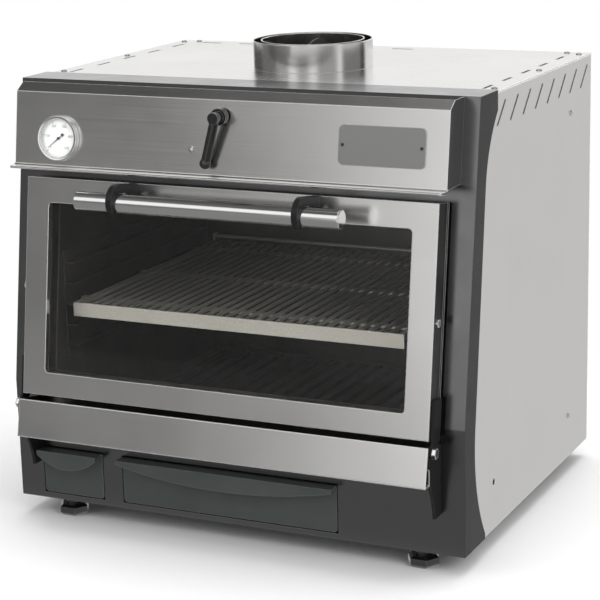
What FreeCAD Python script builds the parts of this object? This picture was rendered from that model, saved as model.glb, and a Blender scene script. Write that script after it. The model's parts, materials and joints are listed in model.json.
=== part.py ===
import FreeCAD, Part
import math
import os
from types import SimpleNamespace

import Sketcher

# Charcoal oven, in millimetres. Construction frame: X to the right, Y to the back, Z up, with Y = 0 at the
# casing's top front edge and Z = 0 at the casing's underside. Every body's Placement then moves the oven so
# that it stands on Z = 0 with Y = 0 in the middle of its depth.

SIZES = {
    # Casing: a front that leans back towards the top, with an upright skirt below the bend
    "casing_w": 700.0,
    "casing_h": 612.0,
    "casing_d": 485.0,
    "lean": 8.37,
    "bend_z": 178.0,
    "frame_t": 2.0,
    "panel_t": 1.5,
    "return_d": 65.0,
    "return_mid_y": 17.0,
    "return_mid_drop": 127.0,
    "return_low_y": -24.5,
    "return_low_z": 165.0,
    "return_foot_y": 13.3,
    "return_foot_z": 8.0,
    "return_top_drop": 27.0,
    "return_upper_r": 166.0,
    "return_lower_r": 230.0,
    "mouth_side": 28.3,
    "mouth_lo": 190.0,
    "mouth_drop": 164.0,
    "mouth_r": 14.0,
    "base_flange": 25.0,
    # Louvre slots in the side panels
    "louvre_y": 66.0,
    "louvre_drop": 48.0,
    "louvre_run": 31.0,
    "louvre_rise": 30.0,
    "louvre_w": 4.0,
    "louvre_count": 8,
    "louvre_end": 18.6,
    "outlet_y": 54.0,
    "outlet_z": 69.0,
    "outlet_r": 5.0,
    # Slots in the top panel
    "vent_l": 34.0,
    "vent_w": 4.0,
    "vent_edge": 26.0,
    "vent_y": 85.0,
    "vent_count": 5,
    "vent_end": 54.0,
    "vent_back_in": 48.0,
    "vent_back_pitch": 67.0,
    "vent_back_count": 6,
    # Oven cavity and insulation
    "wall_t": 3.0,
    "cavity_lo": 100.0,
    "cavity_drop": 109.0,
    "cavity_gap": 68.0,
    "ash_hole_side": 19.0,
    "ash_hole_y": 20.0,
    "ash_hole_d": 320.0,
    "insulation_drop": 56.0,
    "support_gap": 27.5,
    "support_w": 20.0,
    # Flue and damper
    "flue_back": 245.0,
    "pipe_r": 74.5,
    "pipe_t": 1.5,
    "flue_clear": 1.5,
    "collar_r": 88.0,
    "collar_t": 1.5,
    "collar_h": 38.0,
    "damper_drop": 32.0,
    "disc_r": 70.0,
    "disc_t": 3.0,
    "rod_r": 5.0,
    "rod_fit": 0.05,
    "rod_clear": 1.0,
    "bush_r": 11.0,
    "bush_front_l": 16.0,
    "bush_rear_l": 16.0,
    "lever_l": 65.0,
    "lever_tilt": 15.5,
    "lever_gap": 3.0,
    "arm_r": 6.5,
    "ball_r": 7.8,
    "hub_r": 8.0,
    "hub_l": 18.0,
    "drum_r": 11.5,
    "drum_l": 10.0,
    # Control panel
    "control_side": 22.5,
    "control_out": 48.6,
    "control_top_d": 33.0,
    "control_top_drop": 11.0,
    "control_drop": 113.0,
    "control_flange": 20.0,
    "lip_over": 1.2,
    "lip_reach": 18.0,
    "lip_t": 3.5,
    "lip_rise": 1.5,
    "lip_r": 2.0,
    "lip_corner_r": 8.0,
    # Thermometer, badge and rivet on the control panel
    "gauge_in": 72.5,
    "gauge_drop": 74.3,
    "gauge_r": 32.5,
    "gauge_h": 9.0,
    "gauge_rim": 3.5,
    "gauge_wall": 1.5,
    "gauge_stem_r": 7.0,
    "gauge_stem_l": 22.0,
    "dial_t": 0.8,
    "needle_l": 22.0,
    "needle_w": 1.6,
    "needle_t": 0.8,
    "needle_gap": 0.8,
    "needle_pin_r": 2.0,
    "needle_ball_r": 2.2,
    "needle_tail": 8.0,
    "needle_tilt": 51.0,
    "gauge_fit": 0.1,
    "glass_t": 1.5,
    "badge_in": 92.8,
    "badge_drop": 61.4,
    "badge_w": 124.0,
    "badge_h": 54.0,
    "badge_r": 8.0,
    "badge_t": 1.0,
    "badge_screw_x": 56.0,
    "badge_screw_r": 2.2,
    "badge_screw_h": 1.2,
    "rivet_x": -45.0,
    "rivet_drop": 79.3,
    "rivet_r": 5.0,
    "rivet_h": 3.0,
    # Door, measured from the hinge axis in the door's own leaning frame
    "hinge_out": 36.145,
    "hinge_z": 155.2,
    "door_w": 626.6,
    "door_lo": 15.5,
    "door_drop": 137.214,
    "skin_out": 4.4,
    "skin_t": 1.5,
    "pan_t": 2.0,
    "pan_flange": 2.3,
    "window_side": 35.8,
    "window_bottom": 33.2,
    "window_top": 35.3,
    "window_r": 6.0,
    "window_return": 8.0,
    "pane_margin": 12.0,
    "pane_t": 5.0,
    "gasket_land": 4.0,
    "gasket_w": 12.0,
    "gasket_t": 4.3,
    "gasket_clear": 0.3,
    "side_bolt_z": 171.0,
    "side_bolt_y": 5.0,
    "side_bolt_af": 10.0,
    "side_bolt_t": 4.5,
    # Handle
    "bar_r": 13.5,
    "bar_l": 399.0,
    "bar_out": 50.5,
    "bar_drop": 25.8,
    "bar_edge": 1.5,
    "bracket_x": 139.5,
    "bracket_w": 9.0,
    "bracket_t": 6.0,
    "bracket_foot": 30.0,
    "bracket_rise": 3.0,
    "bracket_wrap": 70.0,
    # Hinge
    "ear_in": 1.8,
    "ear_t": 4.0,
    "ear_tip_z": 57.5,
    "ear_tip_d": 21.0,
    "ear_top_z": 156.0,
    "ear_nose_r": 8.0,
    "ear_curve_r": 110.0,
    "lug_t": 3.0,
    "lug_gap": 0.4,
    "lug_l": 70.0,
    "lug_w": 24.0,
    "bolt_r": 4.0,
    "bolt_fit": 0.05,
    "bolt_af": 13.0,
    "bolt_head_t": 5.3,
    "bolt_end": 3.0,
    # Drip tray
    "tray_t": 1.5,
    "tray_top_out": 9.0,
    "tray_top_z": 164.0,
    "tray_low_out": 20.0,
    "tray_low_z": 110.7,
    "gutter_w": 16.0,
    "gutter_h": 22.5,
    "tray_clear": 0.3,
    # Drawers
    "ash_x": -6.5,
    "ash_w": 338.0,
    "drawer_apart": 34.0,
    "air_w": 99.0,
    "drawer_lo": 10.0,
    "drawer_hi": 79.0,
    "drawer_d": 380.0,
    "drawer_t": 1.5,
    "drawer_r": 5.0,
    "drawer_gap": 1.5,
    "box_inset": 6.0,
    "box_lift": 3.0,
    "box_h": 52.0,
    "pull_out": 21.0,
    "pull_drop": 25.0,
    "pull_end": 6.0,
    "rail_w": 14.0,
    "rail_t": 2.0,
    "slide_clear": 0.3,
    # Grill rack, its guides and the charcoal grate
    "rack_side": 28.0,
    "rack_in": 20.855,
    "rack_back": 17.0,
    "rack_bar_h": 20.0,
    "rack_bar_t": 4.0,
    "rod_count": 33,
    "rod_side": 9.0,
    "wire_r": 3.0,
    "cross_w": 12.0,
    "cross_t": 3.0,
    "cross_over": 20.0,
    "cross_y": 10.0,
    "cross_pitch": 174.0,
    "cross_count": 3,
    "weld": 1.0,
    "stop_h": 12.0,
    "stop_w": 10.0,
    "guide_t": 2.0,
    "runner_t": 2.0,
    "runner_w": 15.0,
    "runner_lo": 225.0,
    "runner_pitch": 31.0,
    "runner_count": 5,
    "runner_margin": 16.0,
    "rack_level": 2,
    "guide_in": 43.855,
    "guide_back": 32.0,
    "grate_side": 35.0,
    "grate_in": 63.855,
    "grate_back": 37.0,
    "grate_z": 122.0,
    "grate_t": 10.0,
    "grate_rim": 18.0,
    "grate_slot": 12.0,
    "grate_count": 19,
    "grate_leg": 20.0,
    # Feet and screws
    "foot_side": 71.0,
    "foot_front_in": 27.355,
    "foot_back": 45.0,
    "foot_h": 28.5,
    "foot_af": 40.0,
    "foot_pad_h": 16.5,
    "foot_bevel": 4.0,
    "foot_neck_r": 11.0,
    "foot_stem_r": 6.0,
    "foot_stem_l": 11.0,
    "foot_nut_af": 18.0,
    "foot_nut_t": 8.0,
    "stem_clear": 0.5,
    "screw_r": 4.5,
    "screw_h": 2.0,
    "screw_edge": 12.0,
    "top_screw_y": 90.0,
    "top_screw_count": 3,
    "top_screw_end": 23.0,
    "corner_screw_x": 22.0,
    "side_screw_back": 97.0,
    "side_screw_lo": 66.0,
    "side_screw_drop": 79.0,
    "skirt_screw_in": 25.0,
    "skirt_screw_z": 53.0,
    "skirt_screw_r": 3.0,
}

COUNTS = ("runner_count", "top_screw_count")


class Dim:
    """A size that carries the spreadsheet formula it comes from."""

    def __init__(self, value, text):
        self.value = float(value)
        self.text = text

    def __add__(self, other):
        other = as_dim(other)
        return Dim(self.value + other.value, f"({self.text} + {other.text})")

    def __sub__(self, other):
        other = as_dim(other)
        return Dim(self.value - other.value, f"({self.text} - {other.text})")

    def __rsub__(self, other):
        return as_dim(other) - self

    def __mul__(self, other):
        other = as_dim(other)
        return Dim(self.value * other.value, f"({self.text} * {other.text})")

    def __truediv__(self, other):
        other = as_dim(other)
        return Dim(self.value / other.value, f"({self.text} / {other.text})")

    def __neg__(self):
        return Dim(-self.value, f"(0 - {self.text})")

    __radd__ = __add__
    __rmul__ = __mul__


def as_dim(number):
    """Turn a plain number into a size; a size stays as it is."""
    return number if isinstance(number, Dim) else Dim(number, f"({float(number)!r})")


def sin(angle):
    return Dim(math.sin(math.radians(angle.value)), f"sin({angle.text} * 1 deg)")


def cos(angle):
    return Dim(math.cos(math.radians(angle.value)), f"cos({angle.text} * 1 deg)")


def tan(angle):
    return Dim(math.tan(math.radians(angle.value)), f"tan({angle.text} * 1 deg)")


def root(square):
    return Dim(math.sqrt(square.value), f"sqrt({square.text})")


doc = FreeCAD.newDocument("charcoal_oven")


def make_sheet():
    """Fill the spreadsheet and return its sizes by name."""
    sheet = doc.addObject("Spreadsheet::Sheet", "Sheet")
    for row, (name, value) in enumerate(SIZES.items(), start=1):
        sheet.set(f"A{row}", name)
        sheet.set(f"B{row}", str(value))
        sheet.setAlias(f"B{row}", name)
    doc.recompute()
    return SimpleNamespace(**{name: Dim(value, f"Sheet.{name}") for name, value in SIZES.items()})


d = make_sheet()
count = SimpleNamespace(**{name: int(SIZES[name]) for name in COUNTS})

# Places that several pieces share
half_w = d.casing_w / 2
slope = tan(d.lean)
skirt_y = (d.bend_z - d.casing_h) * slope
skirt_in = skirt_y + d.frame_t
bend_in_z = d.bend_z - d.frame_t * tan(d.lean / 2)
face_run = d.frame_t / cos(d.lean)
side_x = half_w - d.frame_t
side_in = side_x - d.panel_t
top_z = d.casing_h - d.frame_t
top_in = top_z - d.panel_t
back_in = d.casing_d - d.panel_t
door_x = d.door_w / 2
cavity_x = door_x - d.mouth_side
cavity_out = cavity_x + d.wall_t
cavity_back = d.casing_d - d.cavity_gap
cavity_back_out = cavity_back + d.wall_t
cavity_hi = d.casing_h - d.cavity_drop
cavity_top = cavity_hi + d.wall_t
floor_low = d.cavity_lo - d.wall_t
mouth_hi = d.casing_h - d.mouth_drop
insulation_top = d.casing_h - d.insulation_drop
flue_y = d.casing_d - d.flue_back
flue_top = d.casing_h + d.collar_h
pipe_out = d.pipe_r + d.pipe_t
damper_z = d.casing_h - d.damper_drop
control_lo = d.casing_h - d.control_drop
control_top_z = d.casing_h - d.control_top_drop
control_x = half_w - d.control_side
gauge_x = d.gauge_in - control_x
gauge_z = d.casing_h - d.gauge_drop
badge_x = control_x - d.badge_in
badge_z = d.casing_h - d.badge_drop
rivet_z = d.casing_h - d.rivet_drop
ash_left = d.ash_x - d.ash_w / 2
ash_right = d.ash_x + d.ash_w / 2
air_x = ash_left - d.drawer_apart - d.air_w / 2
foot_x = half_w - d.foot_side
foot_front_y = skirt_y + d.foot_front_in
foot_back_y = d.casing_d - d.foot_back


def face_y(z):
    """Y of the frame's leaning face at a height."""
    return (z - d.casing_h) * slope


def inner_y(z):
    """Y of the back of the frame's leaning sheet at a height."""
    return face_y(z) + face_run


def control_y(z):
    """Y of the control panel's face at a height."""
    return face_y(z) - d.control_out


def local_z(z):
    """Height on the frame's face, measured up the door from the hinge axis."""
    return (face_y(z) - hinge_y) * sin(d.lean) + (z - d.hinge_z) * cos(d.lean)


hinge_y = skirt_y - d.hinge_out
skin_back = d.skin_t - d.skin_out
face_in_door = -hinge_y * cos(d.lean) - (d.casing_h - d.hinge_z) * sin(d.lean)
pan_back = face_in_door - d.gasket_t - d.gasket_clear
pan_floor = pan_back - d.pan_t
door_hi = local_z(d.casing_h - d.door_drop)
window_x = door_x - d.window_side
window_lo = d.door_lo + d.window_bottom
window_hi = door_hi - d.window_top
pane_front = skin_back + d.window_return
pane_back = pane_front + d.pane_t
bar_z = door_hi - d.bar_drop
bar_y = hinge_y - (d.skin_out + d.bar_out) * cos(d.lean) + bar_z * sin(d.lean)
hook_in = d.bar_r + d.rod_fit
hook_r = hook_in + d.bracket_t + d.bracket_rise
front_y = bar_y + d.bracket_rise * (cos(d.lean) + sin(d.lean)) - hook_r
mid_y = (front_y + d.casing_d) / 2
ear_x = door_x - d.ear_in
lug_in = ear_x + d.ear_t + d.lug_gap
lug_out = lug_in + d.lug_t
tray_top_y = hinge_y - d.tray_top_out
tray_low_y = hinge_y - d.tray_low_out
gutter_y = tray_low_y + d.gutter_w
gutter_z = d.tray_low_z + d.gutter_h


PLANES = {"x": "YZ_Plane", "y": "XZ_Plane", "z": "XY_Plane"}
UPRIGHT = (FreeCAD.Vector(0, 0, 1), as_dim(0))
LEANING = (FreeCAD.Vector(-1, 0, 0), d.lean)
pockets = []
nodes = []


def new_body(label, at=(0, 0, 0), turn=UPRIGHT):
    """Start a sub-part whose own origin lies at a point of the construction frame, turned about an axis."""
    body = doc.addObject("PartDesign::Body", label)
    body.Label = label
    body.AllowCompound = True
    axis, angle = turn
    body.Placement = FreeCAD.Placement(FreeCAD.Vector(0, 0, 0), FreeCAD.Rotation(axis, angle.value))
    x, y, z = (as_dim(value) for value in at)
    body.setExpression("Placement.Base.x", x.text)
    body.setExpression("Placement.Base.y", (y - mid_y).text)
    body.setExpression("Placement.Base.z", (z + d.foot_h).text)
    if turn is not UPRIGHT:
        body.setExpression("Placement.Rotation.Angle", angle.text)
    nodes.append(body)
    return body


def new_sketch(body, axis, place):
    """Start a sketch square to an axis; place is where it crosses that axis."""
    plane = next(item for item in body.Origin.OriginFeatures if item.Role == PLANES[axis])
    sketch = body.newObject("Sketcher::SketchObject", f"{body.Name}_sketch")
    sketch.AttachmentSupport = [(plane, "")]
    sketch.MapMode = "FlatFace"
    offset = -as_dim(place) if axis == "y" else as_dim(place)
    sketch.setExpression("AttachmentOffset.Base.z", offset.text)
    return sketch


def bind(sketch, rules):
    """Add constraints in one go and tie each sized one to its formula."""
    first = sketch.ConstraintCount
    sketch.addConstraint([rule for rule, size in rules])
    for index, (rule, size) in enumerate(rules, start=first):
        if size is not None:
            sketch.setExpression(f"Constraints[{index}]", size.text)


def fixed_point(geo, end, u, v):
    """Rules that hold a point of the sketch at (u, v)."""
    return [
        (Sketcher.Constraint("DistanceX", -1, 1, geo, end, u.value), u),
        (Sketcher.Constraint("DistanceY", -1, 1, geo, end, v.value), v),
    ]


def arc_edge(start, end, radius):
    """An arc of less than a half circle; a positive radius bends to the left of the way along it."""
    size = abs(radius)
    chord = end - start
    side = 1 if radius > 0 else -1
    left = FreeCAD.Vector(-chord.y, chord.x, 0).normalize()
    reach = math.sqrt(size**2 - chord.Length**2 / 4)
    centre = start + chord / 2 + left * side * reach
    first, last = (start, end) if side > 0 else (end, start)
    angles = [math.atan2(p.y - centre.y, p.x - centre.x) for p in (first, last)]
    circle = Part.Circle(centre, FreeCAD.Vector(0, 0, 1), size)
    return Part.ArcOfCircle(circle, *angles)


def outline(*points):
    """A closed outline of (u, v) points; a third entry makes the edge to the next point an arc."""
    points = [tuple(as_dim(value) for value in point) for point in points]

    def draw(sketch):
        base = sketch.GeometryCount
        corners = [FreeCAD.Vector(p[0].value, p[1].value, 0) for p in points]
        ends = []
        edges = []
        rules = []
        for index, point in enumerate(points):
            start = corners[index]
            end = corners[(index + 1) % len(points)]
            if len(point) == 3:
                edges.append(arc_edge(start, end, point[2].value))
                ends.append((1, 2) if point[2].value > 0 else (2, 1))
            else:
                edges.append(Part.LineSegment(start, end))
                ends.append((1, 2))
        sketch.addGeometry(edges, False)
        for index, point in enumerate(points):
            geo = base + index
            after = (index + 1) % len(points)
            meet = Sketcher.Constraint("Coincident", geo, ends[index][1], base + after, ends[after][0])
            rules.append((meet, None))
            rules += fixed_point(geo, ends[index][0], point[0], point[1])
            if len(point) == 3:
                size = point[2] if point[2].value > 0 else -point[2]
                rules.append((Sketcher.Constraint("Radius", geo, size.value), size))
        bind(sketch, rules)

    return draw


def circle(u, v, radius):
    """A circle about a point of the sketch."""
    u, v, radius = as_dim(u), as_dim(v), as_dim(radius)

    def draw(sketch):
        centre = FreeCAD.Vector(u.value, v.value, 0)
        geo = sketch.addGeometry(Part.Circle(centre, FreeCAD.Vector(0, 0, 1), radius.value), False)
        rules = fixed_point(geo, 3, u, v)
        rules.append((Sketcher.Constraint("Radius", geo, radius.value), radius))
        bind(sketch, rules)

    return draw


def rectangle(left, low, right, high):
    """A rectangle between two corners."""
    return outline((left, low), (right, low), (right, high), (left, high))


def rounded(left, low, right, high, radius):
    """A rectangle with quarter-round corners."""
    left, low, right, high = (as_dim(value) for value in (left, low, right, high))
    return outline(
        (left + radius, low), (right - radius, low, radius), (right, low + radius),
        (right, high - radius, radius), (right - radius, high), (left + radius, high, radius),
        (left, high - radius), (left, low + radius, radius),
    )


def hexagon(u, v, across):
    """A hexagon by its width across flats, with two flats square to the sketch's second axis."""
    u, v, across = as_dim(u), as_dim(v), as_dim(across)
    flat = across / 2
    corner = across / math.sqrt(3)
    return outline(
        (u + corner, v), (u + corner / 2, v + flat), (u - corner / 2, v + flat),
        (u - corner, v), (u - corner / 2, v - flat), (u + corner / 2, v - flat),
    )


def add(body, axis, low, high, *shapes):
    """Pad shapes drawn square to an axis, from one place on that axis to another."""
    low, high = as_dim(low), as_dim(high)
    sketch = new_sketch(body, axis, high if axis == "y" else low)
    for draw in shapes:
        draw(sketch)
    pad = body.newObject("PartDesign::Pad", f"{body.Name}_pad")
    pad.Profile = sketch
    pad.setExpression("Length", (high - low).text)
    body.Tip = pad
    return pad


def cut(body, axis, low, high, *shapes):
    """Pocket shapes drawn square to an axis, between two places on that axis."""
    low, high = as_dim(low), as_dim(high)
    sketch = new_sketch(body, axis, low if axis == "y" else high)
    for draw in shapes:
        draw(sketch)
    base = body.Tip
    pocket = body.newObject("PartDesign::Pocket", f"{body.Name}_pocket")
    pocket.Profile = sketch
    pocket.setExpression("Length", (high - low).text)
    body.Tip = pocket
    pockets.append((base, pocket))
    return pocket


def revolve(body, axis, *shapes):
    """Turn shapes drawn in the YZ plane about the body's own Y or Z axis."""
    sketch = new_sketch(body, "x", 0)
    for draw in shapes:
        draw(sketch)
    turn = body.newObject("PartDesign::Revolution", f"{body.Name}_revolution")
    turn.Profile = sketch
    turn.ReferenceAxis = (sketch, ["H_Axis" if axis == "y" else "V_Axis"])
    turn.Angle = 360
    body.Tip = turn
    return turn


def repeat(body, feature, along, pitch, copies):
    """Repeat a pad or pocket in a row along an axis of its own sketch."""
    row = body.newObject("PartDesign::LinearPattern", f"{body.Name}_row")
    row.Originals = [feature]
    row.Direction = (feature.Profile[0], [along])
    row.setExpression("Length", (pitch * (copies - 1)).text)
    row.setExpression("Occurrences", copies.text)
    body.Tip = row
    return row


def mirrored(side, near, far):
    """The span between two distances from the middle, on the left (-1) or the right (1)."""
    return (near, far) if side > 0 else (-far, -near)


SIDES = {"left": -1, "right": 1}


def front_line(low, high):
    """Points down the back of the front frame, from one height to another below the bend."""
    return [(inner_y(high), high), (skirt_in, bend_in_z), (skirt_in, low)]


def front_frame():
    """Folded sheet: leaning face, upright skirt and top return, with a return down each side."""
    body = new_body("front_frame")
    add(body, "x", -half_w, half_w, outline(
        (d.return_d, d.casing_h), (0, d.casing_h), (skirt_y, d.bend_z), (skirt_y, 0),
        (skirt_in, 0), (skirt_in, bend_in_z), (inner_y(top_z), top_z), (d.return_d, top_z),
    ))
    for side in SIDES.values():
        add(body, "x", *mirrored(side, side_x, half_w), outline(
            (0, d.casing_h), (skirt_y, d.bend_z), (skirt_y, 0),
            (d.return_foot_y, 0), (d.return_foot_y, d.return_foot_z, -d.return_lower_r),
            (d.return_low_y, d.return_low_z),
            (d.return_mid_y, d.casing_h - d.return_mid_drop, -d.return_upper_r),
            (d.return_d, d.casing_h - d.return_top_drop),
            (d.return_d, d.casing_h),
        ))
    cut(body, "y", skirt_y, d.return_d,
        rounded(-cavity_x, d.mouth_lo, cavity_x, mouth_hi, d.mouth_r),
        circle(0, damper_z, d.rod_r + d.rod_clear))
    cut(body, "y", skirt_y, skirt_in, *(
        rectangle(x - w / 2 - d.drawer_gap, d.drawer_lo - d.drawer_gap,
                  x + w / 2 + d.drawer_gap, d.drawer_hi + d.drawer_gap)
        for x, w in ((d.ash_x, d.ash_w), (air_x, d.air_w))
    ))


def side_panel(name, side):
    """Side sheet tucked behind the frame's return, with a row of slanted louvre slots."""
    body = new_body(f"side_panel_{name}")
    low, high = mirrored(side, side_in, side_x)
    add(body, "x", low, high, outline(*front_line(0, top_in), (back_in, 0), (back_in, top_in)))
    foot = d.casing_h - d.louvre_drop
    head = foot + d.louvre_rise
    wide = d.louvre_run + d.louvre_w
    louvre = cut(body, "x", low, high, outline(
        (d.louvre_y, foot), (d.louvre_y + d.louvre_w, foot),
        (d.louvre_y + wide, head), (d.louvre_y + d.louvre_run, head),
    ))
    pitch = (d.casing_d - d.louvre_y - wide - d.louvre_end) / (d.louvre_count - 1)
    repeat(body, louvre, "H_Axis", pitch, d.louvre_count)
    if side > 0:
        cut(body, "x", low, high, circle(d.outlet_y, d.outlet_z, d.outlet_r))


def top_panel():
    """Top sheet with a hole for the flue and narrow vents along its edges."""
    body = new_body("top_panel")
    add(body, "z", top_in, top_z, rectangle(-side_x, inner_y(top_z), side_x, d.casing_d))
    cut(body, "z", top_in, top_z, circle(0, flue_y, pipe_out + d.flue_clear))
    vent_x = side_x - d.vent_edge
    vents = cut(body, "z", top_in, top_z, *(
        rectangle(x - d.vent_w / 2, d.vent_y, x + d.vent_w / 2, d.vent_y + d.vent_l)
        for x in (-vent_x, vent_x)
    ))
    pitch = (d.casing_d - d.vent_y - d.vent_l - d.vent_end) / (d.vent_count - 1)
    repeat(body, vents, "V_Axis", pitch, d.vent_count)
    vent_y = d.casing_d - d.vent_edge
    back_vent = cut(body, "z", top_in, top_z, rectangle(
        d.vent_back_in - side_x, vent_y - d.vent_w / 2,
        d.vent_back_in - side_x + d.vent_l, vent_y + d.vent_w / 2))
    repeat(body, back_vent, "H_Axis", d.vent_back_pitch, d.vent_back_count)


def back_panel():
    body = new_body("back_panel")
    add(body, "y", back_in, d.casing_d, rectangle(-side_x, 0, side_x, top_in))


def base_pan():
    """Floor sheet with a flange up each side and holes for the feet."""
    body = new_body("base_pan")
    add(body, "y", skirt_in, back_in, outline(
        (-side_in, d.base_flange), (-side_in, 0), (side_in, 0), (side_in, d.base_flange),
        (side_in - d.panel_t, d.base_flange), (side_in - d.panel_t, d.panel_t),
        (d.panel_t - side_in, d.panel_t), (d.panel_t - side_in, d.base_flange),
    ))
    cut(body, "z", 0, d.panel_t, *(
        circle(x, y, d.foot_stem_r + d.stem_clear) for x in (-foot_x, foot_x)
        for y in (foot_front_y, foot_back_y)
    ))


def cavity():
    """Heavy inner box: two sides, back, roof with the flue hole and floor with the ash opening."""
    for name, side in SIDES.items():
        body = new_body(f"cavity_{name}")
        add(body, "x", *mirrored(side, cavity_x, cavity_out), outline(
            *front_line(d.cavity_lo, cavity_hi), (cavity_back, d.cavity_lo), (cavity_back, cavity_hi)))
    body = new_body("cavity_back")
    add(body, "y", cavity_back, cavity_back_out, rectangle(-cavity_out, d.cavity_lo, cavity_out, cavity_hi))
    body = new_body("cavity_roof")
    add(body, "z", cavity_hi, cavity_top,
        rectangle(-cavity_out, inner_y(cavity_top), cavity_out, cavity_back_out), circle(0, flue_y, d.pipe_r))
    body = new_body("cavity_floor")
    add(body, "z", floor_low, d.cavity_lo,
        rectangle(-cavity_out, skirt_in, cavity_out, cavity_back_out),
        rectangle(ash_left + d.ash_hole_side, d.ash_hole_y,
                  ash_right - d.ash_hole_side, d.ash_hole_y + d.ash_hole_d))


def insulation():
    """Boards between the cavity and the casing; the space above them is left for the louvres."""
    body = new_body("insulation")
    for side in SIDES.values():
        add(body, "x", *mirrored(side, cavity_out, side_in), outline(
            *front_line(floor_low, insulation_top), (cavity_back_out, floor_low),
            (cavity_back_out, insulation_top)))
    add(body, "y", cavity_back_out, back_in, rectangle(-side_in, floor_low, side_in, insulation_top))
    add(body, "z", cavity_top, insulation_top,
        rectangle(-cavity_out, inner_y(insulation_top), cavity_out, cavity_back_out),
        circle(0, flue_y, pipe_out + d.flue_clear))


def cavity_supports():
    """Two channels along the base pan that carry the cavity's floor between the drawers."""
    body = new_body("cavity_supports")
    half = d.support_w / 2
    for x in (ash_left - d.drawer_apart / 2, ash_right + d.support_gap):
        add(body, "y", skirt_in, cavity_back_out, outline(
            (x - half, d.panel_t), (x + half, d.panel_t), (x + half, d.panel_t + d.frame_t),
            (x - half + d.frame_t, d.panel_t + d.frame_t), (x - half + d.frame_t, floor_low - d.frame_t),
            (x + half, floor_low - d.frame_t), (x + half, floor_low), (x - half, floor_low),
        ))


def flue():
    """Inner pipe from the cavity's roof and the outer collar round it on the top panel."""
    body = new_body("flue_pipe")
    add(body, "z", cavity_top, flue_top, circle(0, flue_y, pipe_out), circle(0, flue_y, d.pipe_r))
    cut(body, "y", flue_y - d.collar_r, flue_y + d.collar_r, circle(0, damper_z, d.rod_r + d.rod_clear))
    body = new_body("flue_collar")
    add(body, "z", top_z, flue_top, circle(0, flue_y, d.collar_r), circle(0, flue_y, d.collar_r - d.collar_t))


def control_panel():
    """Folded sheet in front of the frame, closed at both ends, with a rolled lip along its bottom."""
    body = new_body("control_panel")
    run = d.panel_t / cos(d.lean)
    flange_z = d.casing_h - d.control_flange
    under = d.casing_h - d.panel_t
    fold_z = control_top_z - d.panel_t / 2
    face = [(-d.control_top_d, d.casing_h), (control_y(control_top_z), control_top_z),
            (control_y(control_lo), control_lo)]
    half = control_x
    add(body, "x", -half, half, outline(
        (face_y(flange_z), flange_z), (0, d.casing_h), *face,
        (control_y(control_lo) + run, control_lo), (control_y(fold_z) + run, fold_z),
        (d.panel_t / 2 - d.control_top_d, under), (face_y(under) - run, under),
        (face_y(flange_z) - run, flange_z),
    ))
    for side in SIDES.values():
        add(body, "x", *mirrored(side, half - d.panel_t, half), outline(
            (face_y(control_lo), control_lo), (0, d.casing_h), *face))
    nose = d.lip_t / 2
    lip_y = control_y(control_lo)
    lip_z = control_lo - d.lip_t
    rise_z = control_lo + d.lip_rise
    lip_x = half + d.lip_over
    lip_front = lip_y - d.lip_reach
    add(body, "x", -lip_x, lip_x, outline(
        (control_y(rise_z), rise_z, -d.lip_r), (lip_y - d.lip_rise, control_lo),
        (lip_front + nose, control_lo, nose), (lip_front, control_lo - nose, nose),
        (lip_front + nose, lip_z), (lip_y + run, lip_z), (control_y(rise_z) + run, rise_z),
    ))
    corner_x = lip_x - d.lip_corner_r
    corner_y = lip_front + d.lip_corner_r
    cut(body, "z", lip_z, control_lo, *(
        outline((side * corner_x, lip_front), (side * lip_x, lip_front),
                (side * lip_x, corner_y, -side * d.lip_corner_r))
        for side in SIDES.values()
    ))
    cut(body, "y", lip_y, -d.control_top_d,
        circle(0, damper_z, d.rod_r + d.rod_clear),
        circle(gauge_x, gauge_z, d.gauge_stem_r + d.stem_clear))


def on_panel(label, x, z):
    """Start a sub-part whose own XZ plane lies on the control panel's face."""
    return new_body(label, at=(x, control_y(z), z), turn=LEANING)


def thermometer():
    """Dial thermometer: turned case with a bezel and a stem, dial, needle and glass."""
    inner = d.gauge_r - d.gauge_wall
    seat = -d.gauge_wall
    front = d.gauge_wall - d.gauge_h
    case = on_panel("thermometer_case", gauge_x, gauge_z)
    revolve(case, "y", outline(
        (d.gauge_stem_l, 0), (d.gauge_stem_l, d.gauge_stem_r), (0, d.gauge_stem_r), (0, d.gauge_r),
        (d.gauge_rim - d.gauge_h, d.gauge_r, d.gauge_rim), (-d.gauge_h, d.gauge_r - d.gauge_rim),
        (front, d.gauge_r - d.gauge_rim), (front, inner), (seat, inner), (seat, 0),
    ))
    dial = on_panel("thermometer_dial", gauge_x, gauge_z)
    add(dial, "y", seat - d.dial_t, seat, circle(0, 0, inner - d.gauge_fit))
    glass = on_panel("thermometer_glass", gauge_x, gauge_z)
    add(glass, "y", front, front + d.glass_t, circle(0, 0, inner - d.gauge_fit))
    needle = on_panel("thermometer_needle", gauge_x, gauge_z)
    back = seat - d.dial_t - d.needle_gap
    side = d.needle_w / 2
    tail_x, tail_z = d.needle_tail * sin(d.needle_tilt), d.needle_tail * cos(d.needle_tilt)
    add(needle, "y", back - d.needle_t, back, outline(
        (-d.needle_l * sin(d.needle_tilt), -d.needle_l * cos(d.needle_tilt)),
        (side * cos(d.needle_tilt), -side * sin(d.needle_tilt)), (tail_x, tail_z),
        (-side * cos(d.needle_tilt), side * sin(d.needle_tilt)),
    ))
    add(needle, "y", back - d.needle_t, back, circle(tail_x, tail_z, d.needle_ball_r))
    add(needle, "y", back - d.needle_t - d.needle_gap, seat - d.dial_t - d.slide_clear,
        circle(0, 0, d.needle_pin_r))


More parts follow.
